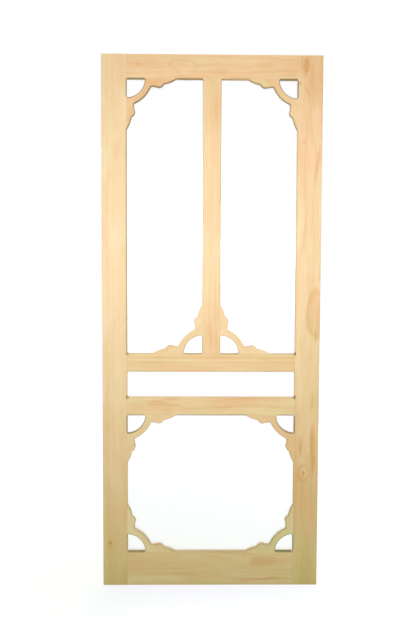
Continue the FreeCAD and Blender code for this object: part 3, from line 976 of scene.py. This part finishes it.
def woven_screen(low, high):
    """Upright wires at even places in x and level wires at even places in z, half a wire before and behind
    the sheet's middle."""
    r = WIRE_RADIUS
    middle = (low.y + high.y) / 2
    x = spread(low.x, high.x, INCH / WIRES_ACROSS)
    z = spread(low.z, high.z, INCH / WIRES_UP)
    foot = np.stack([x, 0 * x + middle - r, 0 * x + low.z], axis=-1)
    head = np.stack([x, 0 * x + middle - r, 0 * x + high.z], axis=-1)
    left = np.stack([0 * z + low.x, 0 * z + middle + r, z], axis=-1)
    right = np.stack([0 * z + high.x, 0 * z + middle + r, z], axis=-1)
    upright = prisms(foot, head, np.array([[r, r, 0], [-r, r, 0], [-r, -r, 0], [r, -r, 0]]))
    level = prisms(left, right, np.array([[0, r, r], [0, -r, r], [0, -r, -r], [0, r, -r]]))
    return np.vstack([upright[0], level[0]]), [upright[1], level[1] + len(upright[0])]


print("wire pitch", round(INCH / WIRES_ACROSS / MM, 2), "by", round(INCH / WIRES_UP / MM, 2), "mm")

# %% [markdown]
# The wire is aluminium, drawn through a die, which leaves it bright. It gives the eye almost no colour of its
# own: it takes the white around it. A slow change of roughness and tone keeps it from looking printed.

# %% Screens
DULL_ALUMINIUM = "#E4E6E7"
BRIGHT_ALUMINIUM = "#F4F4F2"


def bright_aluminium(name, mottle, rough_from, rough_to):
    """Bright metal whose roughness and tone drift over patches of the mottle's size, in millimetres."""
    material, tree = new_material(name)
    coords = add(tree, "TexCoord", {}).node.outputs["Object"]
    drift = add(tree, "TexNoise", {"Vector": coords, "Scale": 1 / (mottle * MM), "Detail": 2.0})
    rough = add(tree, "MapRange", {"Value": drift, "To Min": rough_from, "To Max": rough_to})
    tone = {0: drift, 1: linear(DULL_ALUMINIUM), 2: linear(BRIGHT_ALUMINIUM)}
    tone = add(tree, "Mix", tone, data_type="RGBA")
    metal = {"Base Color": tone, "Metallic": 1.0, "Roughness": rough}
    metal = add(tree, "BsdfPrincipled", metal)
    add(tree, "OutputMaterial", {"Surface": metal})
    return material


wire_metal = bright_aluminium("drawn_aluminium_wire", mottle=30.0, rough_from=0.22, rough_to=0.42)
for node in [name for name in nodes if name.startswith("screen_")]:
    points, faces = woven_screen(*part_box(node))
    screen = mesh_object("woven_" + node, points, faces, wire_metal)
    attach(screen, "root")
    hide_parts(node)
    print(screen.name, len(points) // PRISM_POINTS, "wires")

# %% [markdown]
# ## Brads
# Small nails with domed heads pin the beads over the screen, through their rounded edge, and two in each lobe
# pin a bracket to the frame. A head is a surface of revolution: a ring of points for each step from the rim
# to the crown, closed at the crown and below. One small head is worked out once and set down in all places
# by arrays of axes. The heads are stamped, which leaves them duller than the drawn wire.

# %% Brad helpers
BRAD_SIDES = 8
BRAD_HEAD = 0.9
BRAD_CROWN = 0.25
BRAD_SINK = 0.4
BRAD_DOME_RINGS = 3
BRAD_DOME_TO = math.radians(60)
NEARLY_UPRIGHT = 0.5


def brad_head():
    """Rings at radius R cos t and height crown sin t for t from the rim up, a skirt below the rim, and one
    point each for the crown and the bottom."""
    t = np.linspace(0, BRAD_DOME_TO, BRAD_DOME_RINGS)
    radius = np.concatenate([[BRAD_HEAD], BRAD_HEAD * np.cos(t)])[:, None]
    height = np.concatenate([[-BRAD_SINK], BRAD_CROWN * np.sin(t)])[:, None]
    a = np.linspace(0, 2 * np.pi, BRAD_SIDES, endpoint=False)[None, :]
    rings = np.stack([radius * np.cos(a), radius * np.sin(a), height + 0 * a], axis=-1).reshape(-1, 3)
    ends = [[0.0, 0.0, BRAD_CROWN], [0.0, 0.0, -BRAD_SINK]]
    k = np.arange(BRAD_SIDES)
    after = (k + 1) % BRAD_SIDES
    last = len(rings) - BRAD_SIDES
    crown = np.stack([last + k, last + after, 0 * k + len(rings)], axis=-1)
    bottom = np.stack([after, k, 0 * k + len(rings) + 1], axis=-1)
    walls = grid_faces(len(radius), BRAD_SIDES, wrap=True)
    return np.vstack([rings, ends]) * MM, [walls, np.vstack([crown, bottom])]


def set_brads(name, places, axes, material):
    """Sets a head down at each place with its crown along that place's axis: a point (u, v, w) of the head
    goes to place + u side + v other + w axis, with side and other square to the axis."""
    head, faces = brad_head()
    upright = np.abs(axes[:, 2:]) >= NEARLY_UPRIGHT
    side = np.cross(np.where(upright, [TO_RIGHT], [UP]), axes)
    side = side / np.linalg.norm(side, axis=1, keepdims=True)
    turn = np.stack([side, np.cross(axes, side), axes], axis=1)
    points = places[:, None, :] + np.einsum("pj,njk->npk", head, turn)
    many = [copied(group, len(places), len(head)) for group in faces]
    brads = mesh_object(name, points.reshape(-1, 3), many, material)
    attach(brads, "root")


print("a brad head has", len(brad_head()[0]), "points")

# %% [markdown]
# The joiner sets the brads about a hand and a half apart and keeps clear of the beads' mitred ends. Their
# places follow from the beads' and brackets' boxes, so they stay on the wood whatever the door's size.

# %% Pin the beads and brackets
BEAD_ROUND = 4.0
BEAD_BRAD_SPACING = 150.0
BEAD_BRAD_FROM_END = 45.0
LOBE_BRADS = (112.0, 127.0)
LOBE_BRAD_FROM_FRAME = 6.0
BACKWARD = np.array([0.0, 1.0, 0.0])


def bead_brads(node):
    """Even places along a bead's rounded edge. The edge's centre line is a round in from the inner side and
    from the back, and the head sits a round out from it, halfway between inward and backward."""
    low, high = (np.array(corner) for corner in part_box(node))
    inward = np.array(BEAD_SIDES[node.rsplit("_", 1)[1]][1])
    run = np.abs(np.cross(inward, BACKWARD))
    axis = (inward + BACKWARD) / math.sqrt(2)
    inner_side = np.where(inward > 0, high, low)
    centre = np.where(inward != 0, inner_side, (low + high) / 2) - inward * BEAD_ROUND * MM
    centre[1] = high[1] - BEAD_ROUND * MM
    length = float(run @ (high - low)) - 2 * BEAD_BRAD_FROM_END * MM
    count = max(2, round(length / (BEAD_BRAD_SPACING * MM)) + 1)
    along = np.linspace(-length / 2, length / 2, count)
    places = centre + axis * BEAD_ROUND * MM + along[:, None] * run
    return places, np.tile(axis, (count, 1))


def bracket_brads(node):
    """Two brads in the lobe of each leg, counted from the corner where the bracket's legs meet."""
    x, z = bracket_corner(node)
    corner = np.array([x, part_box(node)[0].y, z])
    both_ways = np.sum(BRACKETS[node], axis=0)
    along = [(u, 0.0, LOBE_BRAD_FROM_FRAME) for u in LOBE_BRADS]
    steps = np.array(along + [step[::-1] for step in along]) * MM
    return corner + steps * both_ways, np.tile(-BACKWARD, (len(steps), 1))


brad_metal = bright_aluminium("stamped_aluminium_brads", mottle=2.0, rough_from=0.35, rough_to=0.5)
for name, rows in [
    ("bead_brads", [bead_brads(node) for node in beads]),
    ("bracket_brads", [bracket_brads(node) for node in BRACKETS]),
]:
    places = np.vstack([row[0] for row in rows])
    set_brads(name, places, np.vstack([row[1] for row in rows]), brad_metal)
    print(name, len(places))
